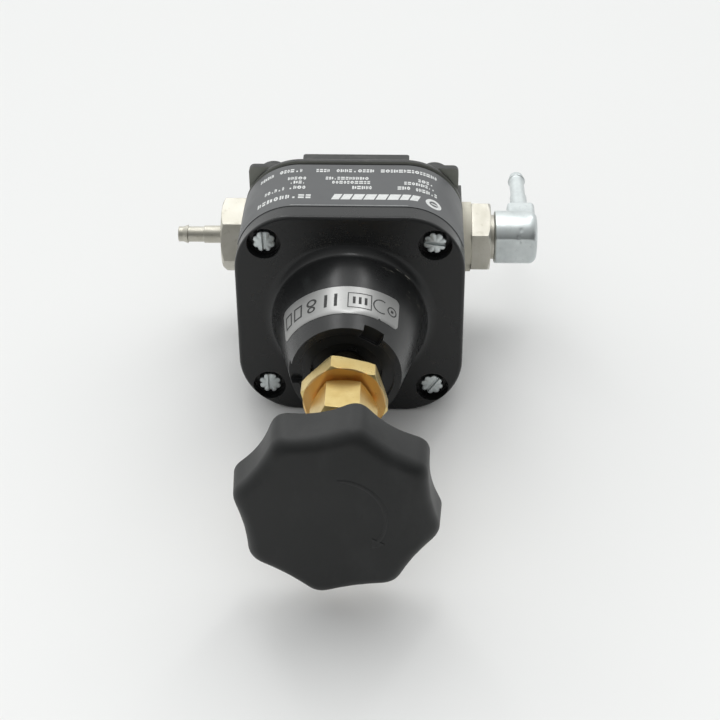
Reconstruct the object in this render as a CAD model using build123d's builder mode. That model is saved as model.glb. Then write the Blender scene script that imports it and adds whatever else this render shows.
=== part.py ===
from build123d import *
from math import cos, pi, radians, sin, tan
import os

os.makedirs("parts", exist_ok=True)

# Air pressure regulator lying on its side. The control axis runs along Y with the knob at -Y,
# the two pipe ports run along X, and Z is up. The origin is on the mounting pad, directly below
# the point where the control axis and the port axis cross. Sizes are in millimetres.

# Case: bonnet skirt, spacer ring and body rim share one rounded square outline.
case_width = 60.0
case_corner = 16.0
axis_height = case_width / 2

# Stack along the control axis, counted from the port axis toward the knob.
port_to_rim_face = 12.7
rim_depth = 2.2
rim_round = 1.2
relay_seam = 2.1
ring_depth = 7.7
control_seam = 1.0
skirt_depth = 20.5
cone_length = 27.0

# General clearances.
running_gap = 0.05
seat_gap = 0.05
assembly_gap = 0.3

# Body.
plate_width = 57.2
plate_height = 54.0
plate_corner = 1.5
plate_depth = 2.0
block_width = 30.2
block_top = 19.8
port_to_rear = 12.0
hub_radius = 20.5
hub_depth = 4.5
port_boss_half_height = 12.0
port_boss_back = 11.0
relay_chamber_radius = 17.0
relay_chamber_depth = 5.0
port_radius = 6.5
port_depth = 12.0
passage_radius = 2.5
riser_radius = 2.2
riser_offset = 13.0
valve_chamber_radius = 7.0
valve_chamber_front = -3.0
gauge_port_radius = 4.9
gauge_port_depth = 8.0
bracket_hole_radius = 2.1
bracket_hole_depth = 9.0
bracket_hole_spacing = 20.0
edge_round = 0.8

# Bottom plug and its seal.
plug_radius = 9.0
plug_shank = 6.5
plug_head_radius = 11.0
plug_head_depth = 3.5
plug_hex_flats = 8.0
plug_hex_depth = 2.2
plug_groove_depth = 1.4
plug_groove_width = 1.6
plug_ring_section = 0.65

# Cover screws.
screw_spacing = 44.1
screw_radius = 2.0
screw_head_radius = 3.05
screw_head_height = 2.4
screw_head_recess = 0.8
screw_slot_width = 0.9
screw_slot_depth = 0.9
screw_counterbore_radius = 4.4
screw_boss_radius = 4.6
screw_boss_depth = 2.5
screw_hole_gap = 0.3
screw_tip_gap = 0.7
screw_slot_angles = (92.0, -8.0, 90.0, 55.0)

# Bonnet.
skirt_wall_radius = 21.5
flange_thickness = 4.5
flange_round = 1.0
cone_base_radius = 20.0
cone_base_start = 2.0
cone_fillet = 3.0
nose_radius = 13.95
nose_wall = 5.0
nose_recess_radius = 12.1
nose_recess_depth = 0.8
nose_bore_radius = 9.0
nose_bore_depth = 3.6
nose_notch_width = 5.6
nose_notch_radial = 3.0
nose_notch_depth = 2.0
nose_notch_angles = (60.0, 179.0, 300.0)
cone_cavity_wide = 15.5
cone_cavity_narrow = 11.2
vent_radius = 1.6
vent_back = 8.0
vent_screen_depth = 1.0

# Gland bush in the bonnet nose, and the lock nut in front of it.
gland_thread_radius = 5.0
gland_hex_flats = 19.05
gland_hex_depth = 5.3
gland_neck = 6.7
gland_hex_turn = 46.3
lock_washer_radius = 6.4
lock_washer_depth = 0.5
lock_nut_flats = 14.29
lock_nut_depth = 11.5
hex_chamfer_angle = 30.0

# Adjusting screw, spring button and knob.
thread_radius = 3.95
thread_pitch = 1.0
button_radius = 9.6
button_depth = 3.0
button_pilot_radius = 6.9
button_pilot_depth = 2.6
button_socket_depth = 1.2
button_from_nose_wall = 3.0
knob_radius = 24.0
knob_valley_radius = 21.6
knob_scallop_radius = 20.0
knob_lobes = 8
knob_lobe_turn = -11.7
knob_lobe_round = 5.0
knob_depth = 13.0
knob_front_round = 3.2
knob_back_round = 1.6
knob_from_flange = 71.5
knob_collar_radius = 8.5
knob_collar_depth = 2.0
insert_radius = 6.0
insert_depth = 9.0
insert_flats = 10.5

# Range spring.
range_wire = 2.4
range_mean_radius = 8.6
range_turns = 6.0

# Control diaphragm and the plates that clamp it.
diaphragm_inset = 0.7
control_plate_radius = 14.5
control_plate_depth = 1.6
control_pilot_radius = 6.4
control_pilot_depth = 2.2
control_backing_radius = 13.0
control_backing_depth = 1.2
stem_radius = 2.0
stem_collar_radius = 4.2
stem_collar_depth = 1.1
stem_nut_flats = 7.0
stem_nut_depth = 2.4
ring_bore_radius = 19.0

# Relay diaphragm, its piston and the valve it opens.
relay_membrane = 0.8
relay_plate_radius = 12.0
relay_plate_depth = 1.0
relay_piston_radius = 11.0
relay_piston_depth = 1.2
relay_shank_radius = 2.6
relay_nose_radius = 3.0
relay_nose_length = 1.5
relay_vent_radius = 1.2
valve_tip_gap = 0.9
seat_radius = 5.0
seat_depth = 3.5
seat_orifice_radius = 2.2
seat_lip_radius = 3.0
seat_lip_height = 0.4
valve_stem_radius = 1.2
valve_head_radius = 4.2
valve_head_depth = 3.0
valve_pad_radius = 3.4
valve_pad_depth = 1.0
valve_tail_radius = 2.0
valve_tail_length = 7.0
valve_guide_depth = 4.5
valve_wire = 0.7
valve_spring_radius = 3.2
valve_spring_turns = 4.0

# Straight barbed fitting on the left, elbow fitting on the right.
fitting_flats = 18.6
fitting_thread_length = 9.0
straight_hex_depth = 7.8
straight_hex_turn = 15.6
barb_base_radius = 2.5
barb_base_length = 5.6
barb_radius = 2.2
barb_length = 4.7
barb_bead_radius = 2.65
barb_bead_length = 1.4
barb_tip_radius = 2.15
barb_tip_length = 1.3
barb_bore_radius = 1.3
seal_washer_radius = 9.9
seal_washer_depth = 2.8
elbow_hex_depth = 5.5
elbow_hex_turn = 90.0
elbow_neck_radius = 6.3
elbow_neck_gap = 1.2
elbow_thread_radius = 5.0
elbow_socket_depth = 5.0
elbow_radius = 7.5
elbow_length = 12.1
elbow_end_round = 2.2
elbow_facet_inset = 1.1
elbow_facet_turn = 8.0
elbow_arm_width = 8.0
elbow_arm_height = 8.6
elbow_arm_round = 1.4
elbow_arm_reach = 13.0
elbow_base_length = 10.5
elbow_barb_length = 23.6
elbow_barb_inset = 4.0

# Rating labels.
label_thickness = 0.15
label_lift = 0.02
case_label_front = 6.3
case_label_back = 29.0
case_label_end_angle = 40.0
cone_label_front = 22.2
cone_label_back = 13.0
cone_label_left = 72.0
cone_label_right = 50.0
cone_label_lean = 0.26

# Stations along Y, worked out from the stack above.
rim_face = -port_to_rim_face
plate_front = rim_face + rim_depth
plate_back = plate_front + plate_depth
ring_back = rim_face - relay_seam
ring_front = ring_back - ring_depth
skirt_back = ring_front - control_seam
flange_face = skirt_back - skirt_depth
nose_face = flange_face - cone_length
nose_inner = nose_face + nose_wall
gland_hex_back = nose_face - gland_neck
gland_hex_front = gland_hex_back - gland_hex_depth
lock_washer_back = gland_hex_front - seat_gap
lock_nut_back = lock_washer_back - lock_washer_depth - seat_gap
lock_nut_front = lock_nut_back - lock_nut_depth
button_front = nose_inner + button_from_nose_wall
button_back = button_front + button_depth
screw_tip = button_front + button_socket_depth - seat_gap
knob_back = flange_face - knob_from_flange
knob_front = knob_back - knob_depth
screw_end = knob_back - insert_depth
head_face = flange_face + screw_head_recess
counterbore_floor = head_face + screw_head_height
screw_boss_back = plate_back + screw_boss_depth
chamber_floor = rim_face + relay_chamber_depth
plug_inner = port_to_rear - plug_shank
plug_back = port_to_rear + plug_head_depth
plug_groove_radius = plug_radius - plug_groove_depth
side_face = case_width / 2

control_axis = Axis((0, 0, axis_height), (0, 1, 0))
port_axis = Axis((0, 0, axis_height), (1, 0, 0))
axial_plane = Plane.XY.offset(axis_height)


# Plane square to the control axis at y. Local x is X, local y is Z, and a positive extrude
# runs toward the knob.
def across(y):
    return Plane(origin=(0, y, axis_height), x_dir=(1, 0, 0), z_dir=(0, -1, 0))


# Plane square to the port axis at x, facing out along X. Local x is Y and local y is Z.
def facing_side(x):
    return Plane(origin=(x, 0, axis_height), x_dir=(0, 1, 0), z_dir=(1, 0, 0))


# Solid turned round an axis that lies in the given plane, from a closed outline.
def turn(points, mode=Mode.ADD, axis=control_axis, plane=axial_plane):
    with BuildSketch(plane) as profile:
        with BuildLine():
            Polyline(*points, close=True)
        make_face()
    revolve(profile.sketch, axis=axis, mode=mode)


# Plain cylinder between two stations on the control axis.
def rod(radius, front, back, mode=Mode.ADD):
    with BuildSketch(across(back)) as section:
        Circle(radius)
    extrude(section.sketch, amount=back - front, mode=mode)


# Plain cylinder along the port axis between two values of X.
def cross_rod(radius, start, end, mode=Mode.ADD):
    with BuildSketch(facing_side(start)) as section:
        Circle(radius)
    extrude(section.sketch, amount=end - start, mode=mode)


# Rounded square of the case outline, between two stations.
def case_slab(front, back, inset=0.0):
    with BuildSketch(across(back)) as section:
        RectangleRounded(case_width - 2 * inset, case_width - 2 * inset, case_corner - inset)
    extrude(section.sketch, amount=back - front)


# The four cover screw positions, cut or added as cylinders between two stations.
def at_screws(radius, front, back, mode):
    with BuildSketch(across(back)) as section:
        with GridLocations(screw_spacing, screw_spacing, 2, 2):
            Circle(radius)
    extrude(section.sketch, amount=back - front, mode=mode)


# Hexagonal bar on the control axis with both ends turned down at the corners.
def hex_bar(flats, front, back, rotation):
    with BuildSketch(across(back)) as section:
        RegularPolygon(flats / 2, 6, major_radius=False, rotation=rotation)
    extrude(section.sketch, amount=back - front)
    corner = flats / 2 / cos(pi / 6)
    drop = (corner - flats / 2) * tan(radians(hex_chamfer_angle))
    turn(
        [
            (0, front),
            (flats / 2, front),
            (corner, front + drop),
            (corner, back - drop),
            (flats / 2, back),
            (0, back),
        ],
        mode=Mode.INTERSECT,
    )


# The same bar along the port axis.
def cross_hex_bar(flats, start, end, rotation):
    with BuildSketch(facing_side(start)) as section:
        RegularPolygon(flats / 2, 6, major_radius=False, rotation=rotation)
    extrude(section.sketch, amount=end - start)
    corner = flats / 2 / cos(pi / 6)
    drop = (corner - flats / 2) * tan(radians(hex_chamfer_angle))
    away = 1 if end > start else -1
    turn(
        [
            (start, 0),
            (start, corner),
            (end - away * drop, corner),
            (end, flats / 2),
            (end, 0),
        ],
        mode=Mode.INTERSECT,
        axis=port_axis,
    )


# Round wire coiled about the control axis between two stations.
def coil(wire, mean_radius, turns, front, back):
    length = back - front - wire
    path = Helix(
        pitch=length / turns,
        height=length,
        radius=mean_radius,
        center=(0, front + wire / 2, axis_height),
        direction=(0, 1, 0),
    )
    with BuildSketch(Plane(origin=path @ 0, z_dir=path % 0)) as section:
        Circle(wire / 2)
    sweep(section.sketch, path=path, is_frenet=True)


# Radius of the cone's outside at a distance in front of the flange face.
def cone_radius(ahead):
    share = (ahead - cone_base_start) / (cone_length - cone_base_start)
    return cone_base_radius + share * (nose_radius - cone_base_radius)


# Body: rim and plate at the diaphragm end, hub and screw bosses behind, a central block that
# stands on the mounting pad, and a boss across it for the two ports.
block_height = axis_height + block_top
with BuildPart() as body:
    case_slab(rim_face, plate_front)
    rim_edge = body.edges().filter_by_position(Axis.Y, plate_front - 0.01, plate_front + 0.01)
    fillet(rim_edge, rim_round)
    with BuildSketch(across(plate_back)) as plate_section:
        RectangleRounded(plate_width, plate_height, plate_corner)
    extrude(amount=plate_depth)
    rod(hub_radius, plate_back, plate_back + hub_depth)
    at_screws(screw_boss_radius, plate_back, screw_boss_back, Mode.ADD)
    with BuildSketch(Plane.XY) as block_section:
        with Locations((0, (plate_back + port_to_rear) / 2)):
            RectangleRounded(block_width, port_to_rear - plate_back, edge_round)
    extrude(amount=block_height)
    with BuildSketch(facing_side(-side_face)) as boss_section:
        with Locations(((plate_back + port_boss_back) / 2, 0)):
            Rectangle(port_boss_back - plate_back, 2 * port_boss_half_height)
        fillet(boss_section.vertices().group_by(Axis.Y)[-1], 4 * edge_round)
    extrude(amount=2 * side_face)
    rod(relay_chamber_radius, rim_face, chamber_floor, Mode.SUBTRACT)
    rod(seat_radius, chamber_floor, valve_chamber_front, Mode.SUBTRACT)
    rod(valve_chamber_radius, valve_chamber_front, plug_inner, Mode.SUBTRACT)
    rod(plug_radius, plug_inner, port_to_rear, Mode.SUBTRACT)
    for side in (-1, 1):
        cross_rod(port_radius, side * (side_face - port_depth), side * side_face, Mode.SUBTRACT)
    cross_rod(passage_radius, -(side_face - port_depth), -valve_chamber_radius / 2, Mode.SUBTRACT)
    cross_rod(passage_radius, riser_offset - riser_radius, side_face - port_depth, Mode.SUBTRACT)
    with BuildSketch(across(passage_radius / 2)) as riser_section:
        with Locations((riser_offset, 0)):
            Circle(riser_radius)
    extrude(amount=passage_radius / 2 - chamber_floor, mode=Mode.SUBTRACT)
    with BuildSketch(Plane.XY.offset(block_height)) as gauge_section:
        Circle(gauge_port_radius)
    extrude(amount=-gauge_port_depth, mode=Mode.SUBTRACT)
    with BuildSketch(Plane.XY) as bracket_section:
        with GridLocations(bracket_hole_spacing, 0, 2, 1):
            Circle(bracket_hole_radius)
    extrude(amount=bracket_hole_depth, mode=Mode.SUBTRACT)
    at_screws(screw_radius + running_gap, rim_face, screw_boss_back, Mode.SUBTRACT)
body.part.label = "body"

# Spacer ring between the two diaphragms.
with BuildPart() as spacer_ring:
    case_slab(ring_front, ring_back)
    rod(ring_bore_radius, ring_front, ring_back, Mode.SUBTRACT)
    at_screws(screw_radius + screw_hole_gap, ring_front, ring_back, Mode.SUBTRACT)
spacer_ring.part.label = "spacer_ring"

# Bonnet: square skirt, then a cone whose nose carries the gland bush.
with BuildPart() as bonnet:
    case_slab(flange_face, skirt_back)
    flange_rim = bonnet.edges().filter_by_position(Axis.Y, flange_face - 0.01, flange_face + 0.01)
    fillet(flange_rim, flange_round)
    with BuildSketch(axial_plane) as cone_section:
        with BuildLine():
            Polyline(
                (0, flange_face + flange_thickness / 2),
                (cone_base_radius + cone_fillet, flange_face + flange_thickness / 2),
                (cone_base_radius + cone_fillet, flange_face),
                (cone_radius(0), flange_face),
                (nose_radius, nose_face),
                (0, nose_face),
                close=True,
            )
        make_face()
        base_corner = cone_section.vertices().sort_by_distance((cone_radius(0), flange_face, 0))
        fillet(base_corner[0], cone_fillet)
    revolve(axis=control_axis)
    rod(skirt_wall_radius, flange_face + flange_thickness, skirt_back, Mode.SUBTRACT)
    turn(
        [
            (0, flange_face + flange_thickness),
            (cone_cavity_wide, flange_face + flange_thickness),
            (cone_cavity_narrow, nose_inner),
            (0, nose_inner),
        ],
        mode=Mode.SUBTRACT,
    )
    rod(nose_recess_radius, nose_face, nose_face + nose_recess_depth, Mode.SUBTRACT)
    rod(nose_bore_radius, nose_face, nose_face + nose_bore_depth, Mode.SUBTRACT)
    rod(gland_thread_radius, nose_face, nose_inner, Mode.SUBTRACT)
    with BuildSketch(across(nose_face + nose_notch_depth)) as notch_section:
        for angle in nose_notch_angles:
            with PolarLocations(nose_radius - nose_notch_radial / 2 + 1, 1, start_angle=angle):
                Rectangle(nose_notch_radial + 2, nose_notch_width)
    extrude(amount=nose_notch_depth + 1, mode=Mode.SUBTRACT)
    at_screws(screw_counterbore_radius, flange_face, counterbore_floor, Mode.SUBTRACT)
    at_screws(screw_radius + screw_hole_gap, counterbore_floor, skirt_back, Mode.SUBTRACT)
    with BuildSketch(Plane.XY.offset(axis_height)) as vent_section:
        with Locations((0, flange_face - vent_back)):
            Circle(vent_radius)
    extrude(amount=-axis_height, mode=Mode.SUBTRACT)
bonnet.part.label = "bonnet"

# Sintered disc in the vent on the underside of the cone.
vent_top = cone_radius(vent_back) - 2 * vent_screen_depth
with BuildPart() as vent_screen:
    with BuildSketch(Plane.XY.offset(axis_height - vent_top)) as screen_section:
        with Locations((0, flange_face - vent_back)):
            Circle(vent_radius)
    extrude(amount=-vent_screen_depth)
vent_screen.part.label = "vent_screen"

# Gland bush: threaded into the nose, with a hexagon in front.
with BuildPart() as gland_bush:
    hex_bar(gland_hex_flats, gland_hex_front, gland_hex_back, gland_hex_turn)
    rod(gland_thread_radius, gland_hex_back, nose_inner)
    rod(thread_radius + running_gap, gland_hex_front, nose_inner, Mode.SUBTRACT)
gland_bush.part.label = "gland_bush"

# Washer and lock nut on the adjusting screw, ahead of the gland bush.
with BuildPart() as lock_washer:
    rod(lock_washer_radius, lock_washer_back - lock_washer_depth, lock_washer_back)
    rod(
        thread_radius + running_gap,
        lock_washer_back - lock_washer_depth,
        lock_washer_back,
        Mode.SUBTRACT,
    )
lock_washer.part.label = "lock_washer"

with BuildPart() as lock_nut:
    hex_bar(lock_nut_flats, lock_nut_front, lock_nut_back, 0)
    rod(thread_radius + running_gap, lock_nut_front, lock_nut_back, Mode.SUBTRACT)
lock_nut.part.label = "lock_nut"

# Spring button: seats the range spring, with a socket for the screw's tip.
with BuildPart() as spring_button:
    rod(button_radius, button_front, button_back)
    rod(button_pilot_radius, button_back, button_back + button_pilot_depth)
    rod(thread_radius + running_gap, button_front, screw_tip + seat_gap, Mode.SUBTRACT)
spring_button.part.label = "spring_button"

# Adjusting screw, with its end held in the knob.
with BuildPart() as adjusting_screw:
    rod(thread_radius, screw_end, screw_tip)
    chamfer(adjusting_screw.edges().filter_by(GeomType.CIRCLE), edge_round / 2)
adjusting_screw.part.label = "adjusting_screw"

# Hexagonal brass insert moulded into the knob.
with BuildPart() as knob_insert:
    with BuildSketch(across(knob_back)) as insert_section:
        RegularPolygon(insert_flats / 2, 6, major_radius=False)
        Circle(thread_radius, mode=Mode.SUBTRACT)
    extrude(amount=insert_depth)
knob_insert.part.label = "knob_insert"

# Knob: scalloped disc with rounded edges and a short collar behind.
with BuildPart() as knob:
    with BuildSketch(across(knob_back)) as knob_section:
        Circle(knob_radius)
        with PolarLocations(
            knob_valley_radius + knob_scallop_radius,
            knob_lobes,
            start_angle=knob_lobe_turn + 180 / knob_lobes,
        ):
            Circle(knob_scallop_radius, mode=Mode.SUBTRACT)
        fillet(knob_section.vertices(), knob_lobe_round)
    extrude(amount=knob_depth)
    fillet(knob.faces().sort_by(Axis.Y)[0].edges(), knob_front_round)
    fillet(knob.faces().sort_by(Axis.Y)[-1].edges(), knob_back_round)
    rod(knob_collar_radius, knob_back, knob_back + knob_collar_depth)
    with BuildSketch(across(knob_back)) as socket_section:
        RegularPolygon(insert_flats / 2, 6, major_radius=False)
    extrude(amount=insert_depth, mode=Mode.SUBTRACT)
    rod(thread_radius + running_gap, knob_back, knob_back + knob_collar_depth, Mode.SUBTRACT)
knob.part.label = "knob"

# Control diaphragm: sheet clamped between the bonnet and the spacer ring.
control_plate_back = skirt_back - seat_gap
with BuildPart() as control_diaphragm:
    case_slab(skirt_back, ring_front, diaphragm_inset)
    at_screws(screw_radius + screw_hole_gap, skirt_back, ring_front, Mode.SUBTRACT)
    rod(stem_radius + running_gap, skirt_back, ring_front, Mode.SUBTRACT)
control_diaphragm.part.label = "control_diaphragm"

# Plates, stem and nut that clamp the middle of the control diaphragm.
control_plate_front = control_plate_back - control_plate_depth
with BuildPart() as control_plate:
    rod(control_plate_radius, control_plate_front, control_plate_back)
    rod(control_pilot_radius, control_plate_front - control_pilot_depth, control_plate_front)
    rod(
        stem_radius + running_gap,
        control_plate_front - control_pilot_depth,
        control_plate_back,
        Mode.SUBTRACT,
    )
control_plate.part.label = "control_plate"

backing_front = ring_front + seat_gap
backing_back = backing_front + control_backing_depth
with BuildPart() as control_backing:
    rod(control_backing_radius, backing_front, backing_back)
    rod(stem_radius + running_gap, backing_front, backing_back, Mode.SUBTRACT)
control_backing.part.label = "control_backing"

stem_nut_back = control_plate_front - control_pilot_depth
with BuildPart() as control_stem:
    rod(stem_collar_radius, backing_back, backing_back + stem_collar_depth)
    rod(stem_radius, stem_nut_back - stem_nut_depth, backing_back)
control_stem.part.label = "control_stem"

with BuildPart() as control_nut:
    hex_bar(stem_nut_flats, stem_nut_back - stem_nut_depth, stem_nut_back, 0)
    rod(
        stem_radius + running_gap,
        stem_nut_back - stem_nut_depth,
        stem_nut_back,
        Mode.SUBTRACT,
    )
control_nut.part.label = "control_nut"

# Range spring between the spring button and the control plate.
with BuildPart() as range_spring:
    coil(
        range_wire,
        range_mean_radius,
        range_turns,
        button_back + assembly_gap,
        control_plate_front - assembly_gap,
    )
range_spring.part.label = "range_spring"

# Relay diaphragm: thick clamped edge round a thin membrane.
membrane_front = (ring_back + rim_face - relay_membrane) / 2
membrane_back = membrane_front + relay_membrane
with BuildPart() as relay_diaphragm:
    case_slab(ring_back, rim_face, diaphragm_inset)
    rod(relay_chamber_radius, ring_back, membrane_front, Mode.SUBTRACT)
    rod(relay_chamber_radius, membrane_back, rim_face, Mode.SUBTRACT)
    rod(relay_shank_radius + running_gap, membrane_front, membrane_back, Mode.SUBTRACT)
    at_screws(screw_radius + screw_hole_gap, ring_back, rim_face, Mode.SUBTRACT)
relay_diaphragm.part.label = "relay_diaphragm"

# Relay piston behind the membrane and plate in front of it.
relay_plate_back = membrane_front - seat_gap
relay_plate_front = relay_plate_back - relay_plate_depth
piston_front = membrane_back + seat_gap
piston_back = piston_front + relay_piston_depth
relay_nose_back = piston_back + relay_nose_length
with BuildPart() as relay_plate:
    rod(relay_plate_radius, relay_plate_front, relay_plate_back)
    rod(relay_shank_radius + running_gap, relay_plate_front, relay_plate_back, Mode.SUBTRACT)
relay_plate.part.label = "relay_plate"

with BuildPart() as relay_piston:
    rod(relay_piston_radius, piston_front, piston_back)
    rod(relay_shank_radius, relay_plate_front, piston_front)
    rod(relay_nose_radius, piston_back, relay_nose_back)
    rod(relay_vent_radius, relay_plate_front, relay_nose_back, Mode.SUBTRACT)
relay_piston.part.label = "relay_piston"

# Valve seat pressed into the web between the chambers.
with BuildPart() as valve_seat:
    rod(seat_radius, valve_chamber_front - seat_depth, valve_chamber_front)
    rod(seat_lip_radius, valve_chamber_front, valve_chamber_front + seat_lip_height)
    rod(
        seat_orifice_radius,
        valve_chamber_front - seat_depth,
        valve_chamber_front + seat_lip_height,
        Mode.SUBTRACT,
    )
valve_seat.part.label = "valve_seat"

# Main valve: stem up to the relay piston, head under the seat, tail in the plug's guide.
valve_tip = relay_nose_back + valve_tip_gap
head_front = valve_chamber_front + seat_lip_height + seat_gap
head_back = head_front + valve_head_depth
tail_back = head_back + valve_tail_length
with BuildPart() as main_valve:
    rod(valve_stem_radius, valve_tip, head_front)
    rod(valve_head_radius, head_front, head_back)
    rod(valve_tail_radius, head_back, tail_back)
    rod(valve_pad_radius, head_front, head_front + valve_pad_depth, Mode.SUBTRACT)
    rod(valve_stem_radius, head_front, head_front + valve_pad_depth)
main_valve.part.label = "main_valve"

with BuildPart() as valve_pad:
    rod(valve_pad_radius, head_front, head_front + valve_pad_depth)
    rod(valve_stem_radius, head_front, head_front + valve_pad_depth, Mode.SUBTRACT)
valve_pad.part.label = "valve_pad"

# Bottom plug: closes the valve chamber and guides the valve's tail.
groove_middle = port_to_rear - plug_groove_width
groove_front = groove_middle - plug_groove_width / 2
groove_back = groove_middle + plug_groove_width / 2
with BuildPart() as bottom_plug:
    rod(plug_radius - running_gap, plug_inner, port_to_rear)
    rod(plug_head_radius, port_to_rear, plug_back)
    turn(
        [
            (plug_groove_radius, groove_front),
            (plug_radius, groove_front),
            (plug_radius, groove_back),
            (plug_groove_radius, groove_back),
        ],
        mode=Mode.SUBTRACT,
    )
    rod(valve_tail_radius + running_gap, plug_inner, plug_inner + valve_guide_depth, Mode.SUBTRACT)
    with BuildSketch(across(plug_back)) as plug_hex_section:
        RegularPolygon(plug_hex_flats / 2, 6, major_radius=False)
    extrude(amount=plug_hex_depth, mode=Mode.SUBTRACT)
    plug_rim = bottom_plug.edges().filter_by(GeomType.CIRCLE).sort_by(Axis.Y)[-1]
    chamfer(plug_rim, edge_round)
bottom_plug.part.label = "bottom_plug"

with BuildPart() as plug_o_ring:
    with BuildSketch(axial_plane) as ring_section:
        with Locations((plug_groove_radius + plug_ring_section, groove_middle)):
            Circle(plug_ring_section)
    revolve(axis=control_axis)
plug_o_ring.part.label = "plug_o_ring"

# Valve spring between the valve head and the bottom plug.
with BuildPart() as valve_spring:
    coil(
        valve_wire,
        valve_spring_radius,
        valve_spring_turns,
        head_back + seat_gap,
        plug_inner - seat_gap,
    )
valve_spring.part.label = "valve_spring"

# Socket-headed plug in the unused gauge port.
gauge_plug_bottom = block_height - gauge_port_depth + assembly_gap
with BuildPart() as gauge_plug:
    with BuildSketch(Plane.XY.offset(gauge_plug_bottom)) as gauge_plug_section:
        Circle(gauge_port_radius - running_gap)
    extrude(amount=gauge_port_depth - 3 * assembly_gap)
    with BuildSketch(Plane.XY.offset(block_height - 2 * assembly_gap)) as gauge_hex_section:
        RegularPolygon(gauge_port_radius / 2, 6, major_radius=False)
    extrude(amount=-gauge_port_depth / 2, mode=Mode.SUBTRACT)
gauge_plug.part.label = "gauge_plug"

# Cover screws: round slotted heads in the bonnet's counterbores.
with BuildPart() as cover_screws:
    at_screws(screw_radius, counterbore_floor, screw_boss_back - screw_tip_gap, Mode.ADD)
    at_screws(screw_head_radius, head_face, counterbore_floor, Mode.ADD)
    corners = [(-1, 1), (1, 1), (-1, -1), (1, -1)]
    with BuildSketch(across(head_face + screw_slot_depth)) as slot_section:
        for (right, up), angle in zip(corners, screw_slot_angles):
            with Locations((right * screw_spacing / 2, up * screw_spacing / 2)):
                Rectangle(3 * screw_head_radius, screw_slot_width, rotation=angle)
    extrude(amount=screw_slot_depth, mode=Mode.SUBTRACT)
cover_screws.part.label = "cover_screws"


# Hose barb: each point gives the distance from the tail's root and the radius there.
def barb_outline(tail_length):
    return [
        (0, 0),
        (0, barb_radius),
        (tail_length, barb_radius),
        (tail_length, barb_bead_radius),
        (tail_length + barb_bead_length, barb_tip_radius),
        (tail_length + barb_bead_length + barb_tip_length, barb_tip_radius),
        (tail_length + barb_bead_length + barb_tip_length, 0),
    ]


# Straight fitting: thread, hexagon and barb in one piece.
straight_hex_end = -side_face - straight_hex_depth
barb_root = straight_hex_end - barb_base_length
straight_outline = barb_outline(barb_length)
straight_tip = barb_root - straight_outline[-1][0]
with BuildPart() as straight_fitting:
    cross_hex_bar(fitting_flats, -side_face, straight_hex_end, straight_hex_turn)
    cross_rod(port_radius - running_gap, -side_face + fitting_thread_length, -side_face)
    cross_rod(barb_base_radius, straight_hex_end, barb_root)
    turn([(barb_root - x, r) for x, r in straight_outline], axis=port_axis)
    cross_rod(barb_bore_radius, straight_tip, -side_face + fitting_thread_length, Mode.SUBTRACT)
straight_fitting.part.label = "straight_fitting"

# Sealing washer, hexagon adapter and elbow on the other port.
washer_end = side_face + seal_washer_depth
with BuildPart() as seal_washer:
    cross_rod(seal_washer_radius, side_face, washer_end)
    cross_rod(port_radius, side_face, washer_end, Mode.SUBTRACT)
seal_washer.part.label = "seal_washer"

elbow_hex_end = washer_end + elbow_hex_depth
elbow_start = elbow_hex_end + elbow_neck_gap
neck_end = elbow_start + elbow_socket_depth - assembly_gap
with BuildPart() as elbow_adapter:
    cross_hex_bar(fitting_flats, washer_end, elbow_hex_end, elbow_hex_turn)
    cross_rod(port_radius - running_gap, side_face - fitting_thread_length, washer_end)
    cross_rod(elbow_neck_radius, elbow_hex_end, elbow_start - seat_gap)
    cross_rod(elbow_thread_radius, elbow_start - seat_gap, neck_end)
    cross_rod(passage_radius, side_face - fitting_thread_length, neck_end, Mode.SUBTRACT)
elbow_adapter.part.label = "elbow_adapter"

elbow_end = elbow_start + elbow_length
arm_x = elbow_end - elbow_barb_inset
arm_axis = Axis((arm_x, 0, axis_height), (0, 1, 0))
elbow_tail = barb_outline(
    elbow_barb_length - elbow_base_length - barb_bead_length - barb_tip_length
)
elbow_barb_root = elbow_arm_reach + elbow_base_length
elbow_tip = elbow_arm_reach + elbow_barb_length
facet_across = elbow_radius - elbow_facet_inset
with BuildPart() as elbow_fitting:
    cross_rod(elbow_radius, elbow_start, elbow_end)
    fillet(elbow_fitting.edges().filter_by(GeomType.CIRCLE).sort_by(Axis.X)[-1], elbow_end_round)
    with BuildSketch(facing_side(elbow_start)) as facet_section:
        with PolarLocations(facet_across + elbow_radius, 1, start_angle=elbow_facet_turn + 180):
            Rectangle(2 * elbow_radius, 2 * elbow_radius)
    extrude(amount=elbow_length, mode=Mode.SUBTRACT)
    with BuildSketch(across(elbow_arm_reach)) as arm_section:
        with Locations((arm_x, 0)):
            RectangleRounded(elbow_arm_width, elbow_arm_height, elbow_arm_round)
    extrude(amount=elbow_arm_reach)
    with BuildSketch(across(elbow_barb_root)) as barb_base_section:
        with Locations((arm_x, 0)):
            Circle(barb_base_radius)
    extrude(amount=elbow_base_length)
    turn([(arm_x + r, elbow_barb_root + y) for y, r in elbow_tail], axis=arm_axis)
    cross_rod(
        elbow_thread_radius + running_gap,
        elbow_start,
        elbow_start + elbow_socket_depth,
        Mode.SUBTRACT,
    )
    cross_rod(barb_bore_radius, elbow_start, arm_x, Mode.SUBTRACT)
    with BuildSketch(across(elbow_tip)) as arm_bore_section:
        with Locations((arm_x, 0)):
            Circle(barb_bore_radius)
    extrude(amount=elbow_tip, mode=Mode.SUBTRACT)
elbow_fitting.part.label = "elbow_fitting"

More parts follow.
